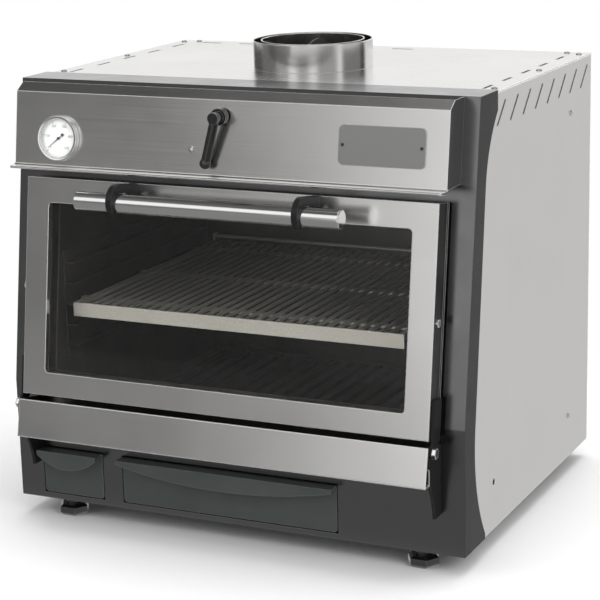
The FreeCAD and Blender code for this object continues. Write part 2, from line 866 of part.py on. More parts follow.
def badge():
    """Plain plate with a screw at each end."""
    plate = on_panel("badge_plate", badge_x, badge_z)
    add(plate, "y", -d.badge_t, 0, rounded(
        -d.badge_w / 2, -d.badge_h / 2, d.badge_w / 2, d.badge_h / 2, d.badge_r))
    screws = on_panel("badge_screws", badge_x, badge_z)
    add(screws, "y", -d.badge_t - d.badge_screw_h, -d.badge_t, *(
        circle(x, 0, d.badge_screw_r) for x in (-d.badge_screw_x, d.badge_screw_x)))


def stop_rivet():
    """Domed rivet on the lever's circle."""
    body = on_panel("stop_rivet", d.rivet_x, rivet_z)
    dome = (d.rivet_r * d.rivet_r + d.rivet_h * d.rivet_h) / (2 * d.rivet_h)
    revolve(body, "y", outline((0, 0), (0, d.rivet_r, dome), (-d.rivet_h, 0)))


def damper():
    """Butterfly disc welded to a rod that runs from the lever through the flue pipe, and the rod's bushes."""
    arm_y = control_y(damper_z) - d.lever_gap - d.hub_l
    hub_y = arm_y + d.hub_l
    rear_y = flue_y + pipe_out + d.bush_rear_l
    lever = new_body("damper_lever", at=(0, arm_y, damper_z), turn=(FreeCAD.Vector(0, 1, 0), d.lever_tilt))
    neck = root(d.ball_r * d.ball_r - d.arm_r * d.arm_r)
    revolve(lever, "z", outline(
        (0, 0), (d.arm_r, 0), (d.arm_r, neck - d.lever_l, -d.ball_r), (0, -d.lever_l - d.ball_r)))
    add(lever, "y", -d.hub_r, d.hub_l, circle(0, 0, d.hub_r))
    add(lever, "y", d.hub_l - d.drum_l, d.hub_l, circle(0, 0, d.drum_r))
    rod = new_body("damper_rod")
    add(rod, "y", hub_y, rear_y, circle(0, damper_z, d.rod_r))
    disc = new_body("damper_disc")
    add(disc, "x", d.rod_r, d.rod_r + d.disc_t, circle(flue_y, damper_z, d.disc_r))
    bore = d.rod_r + d.rod_fit
    low, high = damper_z - d.bush_r, damper_z + d.bush_r
    front = new_body("damper_bush_front")
    tip_y = face_y(damper_z) - d.bush_front_l
    add(front, "y", tip_y, face_y(high), circle(0, damper_z, d.bush_r), circle(0, damper_z, bore))
    cut(front, "x", -d.bush_r, d.bush_r, outline(
        (face_y(low), low), (face_y(high), high), (face_y(high), low)))
    rear = new_body("damper_bush_rear")
    add(rear, "y", flue_y + d.pipe_r, rear_y, circle(0, damper_z, d.bush_r), circle(0, damper_z, bore))
    cut(rear, "z", low, high, circle(0, flue_y, pipe_out))


def on_door(label):
    """Start a sub-part in the door's own leaning frame, about the hinge axis."""
    return new_body(label, at=(0, hinge_y, d.hinge_z), turn=LEANING)


def window(margin, radius):
    """The door's window, grown by a margin."""
    margin = as_dim(margin)
    return rounded(-window_x - margin, window_lo - margin, window_x + margin, window_hi + margin, radius)


def door():
    """Skin with a window turned in at its edges, box behind it, glass, retainer and gasket."""
    skin = on_door("door_skin")
    add(skin, "y", -d.skin_out, skin_back,
        rectangle(-door_x, d.door_lo, door_x, door_hi), window(0, d.window_r))
    add(skin, "y", skin_back, pane_front, window(d.skin_t, d.window_r + d.skin_t), window(0, d.window_r))
    pan = on_door("door_pan")
    add(pan, "y", skin_back, pan_back, rectangle(-door_x, d.door_lo, door_x, door_hi))
    cut(pan, "y", skin_back, pan_floor, rectangle(
        d.pan_t - door_x, d.door_lo + d.pan_t, door_x - d.pan_t, door_hi - d.pan_t))
    cut(pan, "y", pan_floor, pan_back, window(0, d.window_r))
    flange_x = door_x + d.pan_flange
    add(pan, "y", pan_floor, pan_back,
        rectangle(-flange_x, d.door_lo, -door_x, door_hi), rectangle(door_x, d.door_lo, flange_x, door_hi))
    glass = on_door("door_glass")
    add(glass, "y", pane_front, pane_back, window(d.pane_margin, d.window_r))
    retainer = on_door("glass_retainer")
    add(retainer, "y", pane_back, pan_floor, window(d.pane_margin, d.window_r), window(0, d.window_r))
    gasket = on_door("door_gasket")
    inner = d.gasket_land
    outer = d.gasket_land + d.gasket_w
    low, high = local_z(d.mouth_lo), local_z(mouth_hi)
    add(gasket, "y", pan_back, pan_back + d.gasket_t, *(
        rounded(-cavity_x - edge, low - edge, cavity_x + edge, high + edge, d.mouth_r + edge)
        for edge in (outer, inner)))
    bolts = on_door("door_side_bolts")
    for side in SIDES.values():
        add(bolts, "x", *mirrored(side, door_x, door_x + d.side_bolt_t),
            hexagon(d.side_bolt_y, d.side_bolt_z, d.side_bolt_af))


def is_round(edge):
    return isinstance(edge.Curve, Part.Circle)


def is_level(edge):
    return edge.Vertexes[0].Point.z == edge.Vertexes[-1].Point.z


def bevel(body, size, chosen):
    """Break the chosen edges of the sub-part so far."""
    doc.recompute()
    base = body.Tip
    edges = [f"Edge{number}" for number, edge in enumerate(base.Shape.Edges, start=1) if chosen(edge)]
    chamfer = body.newObject("PartDesign::Chamfer", f"{body.Name}_bevel")
    chamfer.Base = (base, edges)
    chamfer.setExpression("Size", size.text)
    body.Tip = chamfer


def handle():
    """Round bar held by two flat hooks bent over it from the top of the door."""
    bar_in_door = -d.skin_out - d.bar_out
    bar = on_door("handle_bar")
    add(bar, "x", -d.bar_l / 2, d.bar_l / 2, circle(bar_in_door, bar_z, d.bar_r))
    bevel(bar, d.bar_edge, is_round)
    centre_y, centre_z = bar_in_door + d.bracket_rise, bar_z + d.bracket_rise
    top = centre_z + hook_r
    foot = top - d.bracket_foot
    bend = bar_z + hook_in - foot
    down, across = sin(d.bracket_wrap), cos(d.bracket_wrap)
    for name, side in SIDES.items():
        bracket = on_door(f"handle_bracket_{name}")
        middle = side * d.bracket_x
        add(bracket, "x", middle - d.bracket_w / 2, middle + d.bracket_w / 2, outline(
            (-d.skin_out, foot), (-d.skin_out, top), (centre_y, top, hook_r),
            (centre_y - hook_r, centre_z, hook_r), (centre_y - hook_r * across, centre_z - hook_r * down),
            (bar_in_door - hook_in * across, bar_z - hook_in * down, -hook_in),
            (bar_in_door - hook_in, bar_z, -hook_in), (bar_in_door, bar_z + hook_in),
            (-d.skin_out - d.bracket_t - bend, bar_z + hook_in, -bend), (-d.skin_out - d.bracket_t, foot),
        ))


def hinge():
    """Ears on the skirt, bolts through them, and the lugs that carry the door on those bolts."""
    nose = d.ear_nose_r
    bore = d.bolt_r + d.bolt_fit
    bolts = new_body("hinge_bolts")
    for name, side in SIDES.items():
        ear = new_body(f"hinge_ear_{name}")
        add(ear, "x", *mirrored(side, ear_x, ear_x + d.ear_t), outline(
            (skirt_y, d.ear_top_z), (hinge_y, d.hinge_z + nose, nose), (hinge_y - nose, d.hinge_z),
            (gutter_y, gutter_z), (gutter_y, d.tray_low_z, -d.ear_curve_r),
            (skirt_y - d.ear_tip_d, d.ear_tip_z), (skirt_y, d.ear_tip_z),
        ), circle(hinge_y, d.hinge_z, bore))
        lug = on_door(f"door_lug_{name}")
        add(lug, "x", *mirrored(side, lug_in, lug_out), outline(
            (-nose, 0, nose), (0, -nose, nose), (nose, 0), (d.lug_w, d.door_lo), (d.lug_w, d.lug_l),
            (0, d.lug_l), (0, d.door_lo),
        ), circle(0, 0, bore))
        add(lug, "x", *mirrored(side, door_x, lug_in), rectangle(0, d.door_lo, d.lug_w, d.lug_l))
        add(bolts, "x", *mirrored(side, ear_x - d.bolt_end, lug_out), circle(hinge_y, d.hinge_z, d.bolt_r))
        add(bolts, "x", *mirrored(side, lug_out + d.lug_gap, lug_out + d.lug_gap + d.bolt_head_t),
            hexagon(hinge_y, d.hinge_z, d.bolt_af))


def drip_tray():
    """Sloped apron in front of the hinge ears, with a gutter folded behind its bottom edge."""
    body = new_body("drip_tray")
    rise = d.tray_top_z - d.tray_low_z
    inner_low = tray_low_y + d.tray_t + (tray_top_y - tray_low_y) * d.tray_t / rise
    half = lug_in - d.tray_clear
    add(body, "x", -half, half, outline(
        (tray_top_y, d.tray_top_z), (tray_low_y, d.tray_low_z), (gutter_y, d.tray_low_z),
        (gutter_y, gutter_z), (gutter_y - d.tray_t, gutter_z), (gutter_y - d.tray_t, d.tray_low_z + d.tray_t),
        (inner_low, d.tray_low_z + d.tray_t), (tray_top_y + d.tray_t, d.tray_top_z),
    ))


def drawer(name, x, w):
    """Front with a half-moon pull, open box behind it and the two rails it slides on."""
    left, right = x - w / 2, x + w / 2
    back = skirt_y + d.drawer_t
    pull = skirt_y - d.pull_out
    front = new_body(f"{name}_drawer_front")
    add(front, "y", skirt_y, back, outline(
        (left, d.drawer_hi), (left, d.drawer_lo + d.drawer_r, d.drawer_r), (left + d.drawer_r, d.drawer_lo),
        (right - d.drawer_r, d.drawer_lo, d.drawer_r), (right, d.drawer_lo + d.drawer_r),
        (right, d.drawer_hi),
    ))
    add(front, "z", d.drawer_hi - d.drawer_t, d.drawer_hi, rectangle(left, pull, right, back))
    drop = d.pull_drop - d.pull_end
    sweep = (w * w / 4 + drop * drop) / (2 * drop)
    add(front, "y", pull, pull + d.drawer_t, outline(
        (right, d.drawer_hi), (left, d.drawer_hi), (left, d.drawer_hi - d.pull_end, sweep),
        (right, d.drawer_hi - d.pull_end),
    ))
    box = new_body(f"{name}_drawer_box")
    low = d.drawer_lo + d.box_lift
    high = low + d.box_h
    inset_l, inset_r = left + d.box_inset, right - d.box_inset
    add(box, "z", low, high, rectangle(inset_l, back, inset_r, back + d.drawer_d))
    cut(box, "z", low + d.drawer_t, high, rectangle(
        inset_l + d.drawer_t, back + d.drawer_t, inset_r - d.drawer_t, back + d.drawer_d - d.drawer_t))
    rail_top = low - d.slide_clear
    rails = new_body(f"{name}_drawer_rails")
    for edge, inward in ((inset_l, 1), (inset_r, -1)):
        add(rails, "y", skirt_in, back + d.drawer_d, outline(
            (edge, d.panel_t), (edge, rail_top), (edge + inward * d.rail_w, rail_top),
            (edge + inward * d.rail_w, rail_top - d.rail_t), (edge + inward * d.rail_t, rail_top - d.rail_t),
            (edge + inward * d.rail_t, d.panel_t),
        ))


def rack_guide(name, side):
    """Plate on the cavity wall with a comb of runners."""
    body = new_body(f"rack_guide_{name}")
    wall = side * cavity_x
    plate = side * (cavity_x - d.guide_t)
    tip = side * (cavity_x - d.guide_t - d.runner_w)
    low = d.runner_lo - d.runner_margin
    high = d.runner_lo + d.runner_pitch * (d.runner_count - 1) + d.runner_margin
    comb = []
    for level in range(count.runner_count):
        top = d.runner_lo + d.runner_pitch * level
        comb += [(plate, top - d.runner_t), (tip, top - d.runner_t), (tip, top), (plate, top)]
    add(body, "y", skirt_y + d.guide_in, cavity_back - d.guide_back, outline(
        (wall, low), (plate, low), *comb, (plate, high), (wall, high)))


def grill_rack():
    """Welded rack: cross flats that ride on the runners, rods, side and front bars, raised rear stop."""
    body = new_body("grill_rack")
    low = d.runner_lo + d.runner_pitch * d.rack_level + d.slide_clear
    cross_top = low + d.cross_t
    rod_z = cross_top + d.wire_r - d.weld
    bar_top = rod_z + d.wire_r + d.weld
    stop_z = rod_z + d.stop_h
    tab_top = stop_z + d.wire_r + d.weld
    front = skirt_y + d.rack_in
    back = cavity_back - d.rack_back
    tab_y = back - d.stop_w
    half = cavity_x - d.rack_side
    reach = half + d.cross_over
    flat = add(body, "z", low, cross_top, rectangle(-reach, d.cross_y, reach, d.cross_y + d.cross_w))
    repeat(body, flat, "V_Axis", d.cross_pitch, d.cross_count)
    for side in SIDES.values():
        add(body, "x", *mirrored(side, half - d.rack_bar_t, half), outline(
            (front, low), (back, low), (back, tab_top), (tab_y, tab_top), (tab_y, bar_top), (front, bar_top)))
    first = d.rod_side - half
    rod = add(body, "y", front + d.rack_bar_t / 2, back, circle(first, rod_z, d.wire_r))
    repeat(body, rod, "H_Axis", -2 * first / (d.rod_count - 1), d.rod_count)
    add(body, "y", front, front + d.rack_bar_t, rectangle(-half, bar_top - d.rack_bar_h, half, bar_top))
    stop_end = half - d.rack_bar_t / 2
    add(body, "x", -stop_end, stop_end, circle(back - d.stop_w / 2, stop_z, d.wire_r))


def charcoal_grate():
    """Slotted plate on four legs over the ash opening."""
    body = new_body("charcoal_grate")
    half = cavity_x - d.grate_side
    front = skirt_y + d.grate_in
    back = cavity_back - d.grate_back
    low = d.grate_z - d.grate_t
    add(body, "z", low, d.grate_z, rectangle(-half, front, half, back))
    first = d.grate_rim + d.grate_slot / 2 - half
    gap = cut(body, "z", low, d.grate_z, rectangle(
        first - d.grate_slot / 2, front + d.grate_rim, first + d.grate_slot / 2, back - d.grate_rim))
    repeat(body, gap, "H_Axis", -2 * first / (d.grate_count - 1), d.grate_count)
    add(body, "z", d.cavity_lo, low, *(
        rectangle(x, y, x + d.grate_leg, y + d.grate_leg)
        for x in (-half, half - d.grate_leg) for y in (front, back - d.grate_leg)))


def feet():
    """Hexagonal levelling feet with stems through the base pan, and their lock nuts."""
    places = {f"{end}_{name}": (side * foot_x, y) for name, side in SIDES.items()
              for end, y in (("front", foot_front_y), ("back", foot_back_y))}
    for name, (x, y) in places.items():
        foot = new_body(f"foot_{name}", at=(x, y, 0))
        pad_top = d.foot_pad_h - d.foot_h
        add(foot, "z", -d.foot_h, pad_top, hexagon(0, 0, d.foot_af))
        bevel(foot, d.foot_bevel, is_level)
        add(foot, "z", pad_top, 0, circle(0, 0, d.foot_neck_r))
        add(foot, "z", 0, d.foot_stem_l, circle(0, 0, d.foot_stem_r))
    nuts = new_body("foot_nuts")
    bore = d.foot_stem_r + d.rod_fit
    for x, y in places.values():
        add(nuts, "z", d.panel_t, d.panel_t + d.foot_nut_t, hexagon(x, y, d.foot_nut_af), circle(x, y, bore))


def screws():
    """Heads of the screws in the top, the sides and the skirt."""
    body = new_body("panel_screws")
    x = side_x - d.screw_edge
    pitch = (d.casing_d - d.top_screw_y - d.top_screw_end) / (d.top_screw_count - 1)
    rows = [(x, d.top_screw_y + pitch * step) for step in range(count.top_screw_count)]
    rows.append((x - d.corner_screw_x, d.casing_d - d.screw_edge))
    add(body, "z", top_z, top_z + d.screw_h, *(
        circle(side * across, along, d.screw_r) for side in SIDES.values() for across, along in rows))
    for side in SIDES.values():
        add(body, "x", *mirrored(side, side_x, side_x + d.screw_h), *(
            circle(d.casing_d - d.side_screw_back, z, d.screw_r)
            for z in (d.side_screw_lo, d.casing_h - d.side_screw_drop)))
    add(body, "y", skirt_y - d.screw_h, skirt_y,
        circle(d.skirt_screw_in - half_w, d.skirt_screw_z, d.skirt_screw_r))


front_frame()
for side_name, side_sign in SIDES.items():
    side_panel(side_name, side_sign)
top_panel()
back_panel()
base_pan()
cavity()
insulation()
cavity_supports()
flue()
control_panel()
thermometer()
badge()
stop_rivet()
damper()
door()
handle()
hinge()
drip_tray()
drawer("ash", d.ash_x, d.ash_w)
drawer("air", air_x, d.air_w)
for side_name, side_sign in SIDES.items():
    rack_guide(side_name, side_sign)
grill_rack()
charcoal_grate()
feet()
screws()


def finish():
    """Recompute, make sure that every feature worked, and write one STEP file per sub-part."""
    doc.recompute()
    for item in doc.Objects:
        assert not {"Invalid", "Error"} & set(item.State), f"{item.Label}: {item.State}"
    for base, pocket in pockets:
        assert pocket.Shape.Volume < base.Shape.Volume, f"{pocket.Label} cuts nothing"
    os.makedirs("parts", exist_ok=True)
    for body in nodes:
        assert body.Shape.isValid() and body.Shape.Solids, f"{body.Label} has no sound solid"
        body.Shape.exportStep(f"parts/{body.Label}.step")


finish()
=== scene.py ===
"""Looks of the charcoal oven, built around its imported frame."""

import json
import math

import bmesh
import bpy
from mathutils import Matrix, Vector, noise


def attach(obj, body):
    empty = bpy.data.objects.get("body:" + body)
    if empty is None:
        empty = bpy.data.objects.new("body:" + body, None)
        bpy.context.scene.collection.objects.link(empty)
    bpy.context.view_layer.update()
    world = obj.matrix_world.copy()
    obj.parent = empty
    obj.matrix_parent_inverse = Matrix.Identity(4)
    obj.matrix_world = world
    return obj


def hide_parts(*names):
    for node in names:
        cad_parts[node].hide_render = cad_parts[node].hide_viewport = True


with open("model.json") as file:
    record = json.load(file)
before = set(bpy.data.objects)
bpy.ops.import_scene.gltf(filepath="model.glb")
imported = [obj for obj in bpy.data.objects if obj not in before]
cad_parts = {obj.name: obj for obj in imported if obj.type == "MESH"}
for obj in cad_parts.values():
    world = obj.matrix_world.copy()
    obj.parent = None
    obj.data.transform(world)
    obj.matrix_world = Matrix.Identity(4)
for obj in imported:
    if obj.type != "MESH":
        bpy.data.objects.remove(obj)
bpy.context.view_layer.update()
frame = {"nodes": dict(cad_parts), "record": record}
nodes = frame["nodes"]

MM = 0.001
DEG = math.pi / 180
# A quarter of a turn in degrees, and a full turn in radians
QUARTER, FULL_TURN = 90, 2 * math.pi


# Camera, at the viewing angle of the photograph
CAMERA_PLACE = (1.22607, -2.56391, 1.01450)
CAMERA_YAW, CAMERA_PITCH, CAMERA_ROLL = 25.585, 14.159, -1.430
CAMERA_REACH = 100
SENSOR_MM = 36.0
FOCAL_PIXELS, PICTURE_PIXELS = 1971.25, 600


def add_camera():
    """Perspective camera turned by yaw, then pitch, then roll."""
    data = bpy.data.cameras.new("camera")
    data.sensor_width = SENSOR_MM
    data.lens = SENSOR_MM * (FOCAL_PIXELS / PICTURE_PIXELS)
    data.clip_end = CAMERA_REACH
    camera = bpy.data.objects.new("camera", data)
    turn = (Matrix.Rotation(CAMERA_YAW * DEG, 4, "Z")
            @ Matrix.Rotation((QUARTER - CAMERA_PITCH) * DEG, 4, "X")
            @ Matrix.Rotation(CAMERA_ROLL * DEG, 4, "Z"))
    camera.matrix_world = Matrix.Translation(CAMERA_PLACE) @ turn
    bpy.context.scene.collection.objects.link(camera)
    bpy.context.scene.camera = camera


add_camera()


# Node trees
ROUND_SAMPLES, EDGE_SAMPLES = 6, 4
# Cosine between the rounded and the true normal, at an edge and where it ends
EDGE_COSINE = (0.80, 0.98)
# X of a normal where a face starts to count as sideways, and where it fully does
SIDE_FACING = (0.6, 0.8)


class Tree:
    """A shader node tree with short calls for the steps that are used again and again."""

    def __init__(self, tree):
        self.tree = tree
        tree.nodes.clear()

    def node(self, kind, **settings):
        made = self.tree.nodes.new(kind)
        for key, value in settings.items():
            setattr(made, key, value)
        return made

    def feed(self, value, socket):
        """Link a socket, or set a plain value."""
        if isinstance(value, bpy.types.NodeSocket):
            self.tree.links.new(value, socket)
        else:
            socket.default_value = value

    def split(self, vector):
        """The X, Y and Z of a vector."""
        made = self.node("ShaderNodeSeparateXYZ")
        self.feed(vector, made.inputs["Vector"])
        return made.outputs

    def math(self, how, first, second=0.0):
        made = self.node("ShaderNodeMath", operation=how)
        self.feed(first, made.inputs[0])
        self.feed(second, made.inputs[1])
        return made.outputs["Value"]

    def span(self, source, low, high, start=0.3, end=0.7, smooth=False):
        """Source from start to end as a number from low to high."""
        made = self.node("ShaderNodeMapRange")
        if smooth:
            made.interpolation_type = "SMOOTHSTEP"
        self.feed(source, made.inputs["Value"])
        for key, value in zip(("From Min", "From Max", "To Min", "To Max"), (start, end, low, high)):
            made.inputs[key].default_value = value
        return made.outputs["Result"]

    def window(self, source, low, high, blur):
        """Share that is 1 between two values of the source and fades out past them."""
        rise = self.span(source, 0.0, 1.0, low - blur, low + blur, smooth=True)
        fall = self.span(source, 1.0, 0.0, high - blur, high + blur, smooth=True)
        return self.math("MULTIPLY", rise, fall)

    def mix_shader(self, share, first, second):
        made = self.node("ShaderNodeMixShader")
        self.feed(share, made.inputs["Fac"])
        self.feed(first, made.inputs[1])
        self.feed(second, made.inputs[2])
        return made.outputs["Shader"]


class Graph(Tree):
    """Node tree of one material around a Principled shader."""

    def __init__(self, name, colour, metal=0.0, rough=0.5, round_edges=0.0):
        self.material = bpy.data.materials.new(name)
        self.material.use_nodes = True
        super().__init__(self.material.node_tree)
        self.output = self.node("ShaderNodeOutputMaterial")
        self.shader = self.node("ShaderNodeBsdfPrincipled")
        self.show(self.shader.outputs["BSDF"])
        coords = self.node("ShaderNodeTexCoord")
        self.place = coords.outputs["Object"]
        self.facing = coords.outputs["Normal"]
        self.set("Base Color", (*colour, 1))
        self.set("Metallic", metal)
        self.set("Roughness", rough)
        self.normal = None
        if round_edges:
            bevel = self.node("ShaderNodeBevel", samples=ROUND_SAMPLES)
            bevel.inputs["Radius"].default_value = round_edges
            self.normal = bevel.outputs["Normal"]
            self.set("Normal", self.normal)

    def set(self, socket, value):
        self.feed(value, self.shader.inputs[socket])

    def show(self, shader):
        """Make this shader the material's surface."""
        self.feed(shader, self.output.inputs["Surface"])

    def noise(self, stretch, detail=3.0, rough=0.5):
        """Noise with this many waves per metre along each axis."""
        mapping = self.node("ShaderNodeMapping")
        mapping.inputs["Scale"].default_value = stretch
        self.feed(self.place, mapping.inputs["Vector"])
        texture = self.node("ShaderNodeTexNoise")
        texture.inputs["Scale"].default_value = 1.0
        texture.inputs["Detail"].default_value = detail
        texture.inputs["Roughness"].default_value = rough
        self.feed(mapping.outputs["Vector"], texture.inputs["Vector"])
        return texture.outputs["Fac"]

    def blend(self, share, first, second):
        """Mix of two colours, each a colour or a socket, by a share."""
        mix = self.node("ShaderNodeMix", data_type="RGBA")
        self.feed(share, mix.inputs["Factor"])
        for key, value in (("A", first), ("B", second)):
            socket = next(s for s in mix.inputs if s.name == key and s.type == "RGBA")
            self.feed((*value, 1) if isinstance(value, tuple) else value, socket)
        return next(s for s in mix.outputs if s.type == "RGBA")

    def edges(self, radius):
        """Share from 0 on a flat face to 1 along the piece's edges."""
        bevel = self.node("ShaderNodeBevel", samples=EDGE_SAMPLES)
        bevel.inputs["Radius"].default_value = radius
        dot = self.node("ShaderNodeVectorMath", operation="DOT_PRODUCT")
        self.feed(bevel.outputs["Normal"], dot.inputs[0])
        self.feed(self.node("ShaderNodeNewGeometry").outputs["Normal"], dot.inputs[1])
        return self.span(dot.outputs["Value"], 1.0, 0.0, *EDGE_COSINE)

    def bump(self, height, distance):
        """Relief in metres, on top of any relief set before."""
        made = self.node("ShaderNodeBump")
        made.inputs["Distance"].default_value = distance
        self.feed(height, made.inputs["Height"])
        if self.normal:
            self.feed(self.normal, made.inputs["Normal"])
        self.normal = made.outputs["Normal"]
        self.set("Normal", self.normal)

    def sideways(self):
        """Share that is 1 on faces that look left or right and 0 on the others."""
        return self.span(self.math("ABSOLUTE", self.split(self.facing)["X"]), 0.0, 1.0, *SIDE_FACING)


# Noises of the materials: waves per metre along each axis, detail and, where it isn't a half, roughness
SMUDGES = ((7.0, 7.0, 7.0), 4.0)
DUST = ((9.0, 9.0, 9.0), 5.0, 0.6)
PEEL = ((420.0, 420.0, 420.0), 2.0)
BLOTCHES = ((14.0, 14.0, 14.0), 6.0, 0.65)
SPECKS = ((260.0, 260.0, 260.0), 3.0, 0.6)
WIPES = ((30.0, 6.0, 9.0), 5.0, 0.6)
FLOOR_CLOUDS = ((3.0, 3.0, 3.0), 3.0)

# Brush lines: waves per metre along them, across them in the fine and the coarse noise, and detail
GRAIN_LONG, GRAIN_FINE, GRAIN_COARSE, GRAIN_DETAIL = 4.0, 1400.0, 420.0, 2.0
# Brushed steel: range and sheen of its lines, strength and sheen of its smudges, relief, metal under the
# painted edge highlight
LINE_RANGE, LINE_SHEEN = (0.7, 1.3), 0.012
SMUDGE_SHARE, SMUDGE_SHEEN = 0.4, (-0.02, 0.03)
BRUSH_DEPTH = 0.0000004
EDGE_METAL = 0.45
# Painted shade on the level top flange: tone, roughness, how level a face has to be, and from which height
# up
FLANGE_SHADE, FLANGE_SHADE_ROUGH = (0.008, 0.008, 0.008), 0.85
FLANGE_LEVEL, FLANGE_HEIGHT = (0.95, 0.99), (0.58, 0.60)
# Painted shade round cut slots: its tone, and how softly its band ends
SLOT_SHADE, CUT_BLUR = (0.03, 0.03, 0.03), 0.002


def brush_lines(g, axis):
    """Brush lines along an axis; those along X turn upright on sideways faces."""
    def grain(along, fine):
        stretch = tuple(GRAIN_LONG if name == along else fine for name in "xyz")
        return g.noise(stretch, GRAIN_DETAIL)

    def lines(along):
        return g.math("ADD", grain(along, GRAIN_FINE), grain(along, GRAIN_COARSE))

    if axis != "x":
        return lines(axis)
    upright = g.sideways()
    level = g.math("MULTIPLY", lines("x"), g.math("SUBTRACT", 1.0, upright))
    return g.math("ADD", level, g.math("MULTIPLY", lines("z"), upright))


def brushed(name, colour, rough, axis, metal=1.0, contrast=0.012, edge=0.25, fold=0.0016,
            flange=1.0, cut_bands=()):
    """Brushed sheet: fine lines along an axis, cloudy sheen and a painted highlight along the edges.

    A flange below 1 paints the end faces darker by that factor, as shade, and paints shade on the level top
    flange.
    Where cut slots lie, given by limits along some axes, their rims carry painted shade.
    """
    g = Graph(name, colour, metal, rough, round_edges=fold)
    lines = brush_lines(g, axis)
    smudges = g.noise(*SMUDGES)
    dark = tuple(c * (1 - contrast) for c in colour)
    light = tuple(min(1.0, c * (1 + contrast)) for c in colour)
    # The edges get a painted highlight: a lighter tone, and less metal so that lamp light shows on them
    painted_edge = tuple(min(1.0, c * (1 + contrast + edge)) for c in colour)
    body = g.blend(g.span(lines, 0.0, 1.0, *LINE_RANGE), dark, light)
    body = g.blend(g.span(smudges, 0.0, SMUDGE_SHARE), body, dark)
    edges = g.edges(fold)
    metallic = g.span(edges, metal, metal * EDGE_METAL, 0.0, 1.0)
    sheen = g.math("ADD", g.span(lines, rough - LINE_SHEEN, rough + LINE_SHEEN, *LINE_RANGE),
                   g.span(smudges, *SMUDGE_SHEEN))
    # Painted shade: end faces darkened by the flange factor, and the level top flange nearly black
    if flange < 1:
        level = g.math("MULTIPLY", g.span(g.split(g.facing)["Z"], 0.0, 1.0, *FLANGE_LEVEL),
                       g.span(g.split(g.place)["Z"], 0.0, 1.0, *FLANGE_HEIGHT))
        body = g.blend(g.sideways(), body, tuple(c * flange for c in colour))
        body = g.blend(level, body, FLANGE_SHADE)
        painted_edge = g.blend(level, painted_edge, FLANGE_SHADE)
        metallic = g.math("MULTIPLY", metallic, g.math("SUBTRACT", 1.0, level))
        sheen = g.math("MAXIMUM", sheen, g.math("MULTIPLY", level, FLANGE_SHADE_ROUGH))
    # Painted shade on the rims round the cut slots
    if cut_bands:
        spot = g.split(g.place)
        share = 1.0
        for along, low, high in cut_bands:
            share = g.math("MULTIPLY", g.window(spot[along], low, high, CUT_BLUR), share)
        painted_edge = g.blend(share, painted_edge, SLOT_SHADE)
    g.set("Base Color", g.blend(edges, body, painted_edge))
    g.set("Metallic", metallic)
    g.set("Roughness", sheen)
    g.bump(lines, BRUSH_DEPTH)
    return g.material


# Paint: relief of its peel, range and strength of its dust, and how far the dust moves its roughness
PEEL_DEPTH = 0.00002
DUST_RANGE, DUST_SHARE = (0.35, 0.75), 0.4
DUST_SMOOTHER, DUST_ROUGHER = 0.04, 0.06
# Front frame: which faces get the metallic painted sheen, by their Y and by their Z, and its dust, bend and
# edges
FRAME_FRONT, FRAME_TOP = (-0.9, -0.5), (0.5, 0.9)
FRAME_DUST, FRAME_BEND = 0.15, 1.15
FRAME_FOLD, FRAME_RUBBED = 0.0016, 0.0014


def painted(name, colour, rough, wear_and_highlight, peel=PEEL_DEPTH, bend=1.5, dust=0.3, fold=0.0014):
    """Sprayed paint: orange peel, faint dust clouds and lighter edges, rubbed thin, which on some looks
    carry a painted highlight.
    """
    g = Graph(name, colour, rough=rough, round_edges=fold)
    g.set("IOR", bend)
    clouds = g.noise(*DUST)
    pale = tuple(c + dust * (w - c) * DUST_SHARE for c, w in zip(colour, wear_and_highlight))
    body = g.blend(g.span(clouds, 0.0, 1.0, *DUST_RANGE), colour, pale)
    g.set("Base Color", g.blend(g.edges(fold), body, wear_and_highlight))
    g.set("Roughness", g.span(clouds, rough - DUST_SMOOTHER, rough + DUST_ROUGHER))
    g.bump(g.noise(*PEEL), peel)
    return g.material


def paint_with_sheen(name, colour, sheen_colour, rough, wear_and_highlight):
    """Black satin paint whose front and top faces get a dark metallic finish as a painted sheen."""
    g = Graph(name, colour, rough=rough, round_edges=FRAME_FOLD)
    g.set("IOR", FRAME_BEND)
    facing = g.split(g.facing)
    # Faces looking forward or up get the painted sheen
    front = g.math("MAXIMUM", g.span(facing["Y"], 1.0, 0.0, *FRAME_FRONT),
                   g.span(facing["Z"], 0.0, 1.0, *FRAME_TOP))
    clouds = g.noise(*DUST)
    body = g.blend(front, colour, sheen_colour)
    dusty = g.blend(g.span(clouds, 0.0, FRAME_DUST, *DUST_RANGE), body, wear_and_highlight)
    g.set("Base Color", g.blend(g.edges(FRAME_RUBBED), dusty, wear_and_highlight))
    g.set("Metallic", front)
    g.set("Roughness", g.span(clouds, rough - DUST_SMOOTHER, rough + DUST_ROUGHER))
    g.bump(g.noise(*PEEL), PEEL_DEPTH)
    return g.material


# Hot side: range of blotches, range, strength and tone of specks, edges, roughness and relief
BLOTCH_RANGE = (0.38, 0.62)
SPECK_RANGE, SPECK_SHARE, SPECK_TONE = (0.5, 0.75), 0.5, 0.5
HOT_FOLD, HOT_EDGE = 0.001, 1.8
HOT_SMOOTHER, HOT_ROUGHER = 0.1, 0.12
BLOTCH_RELIEF = 2


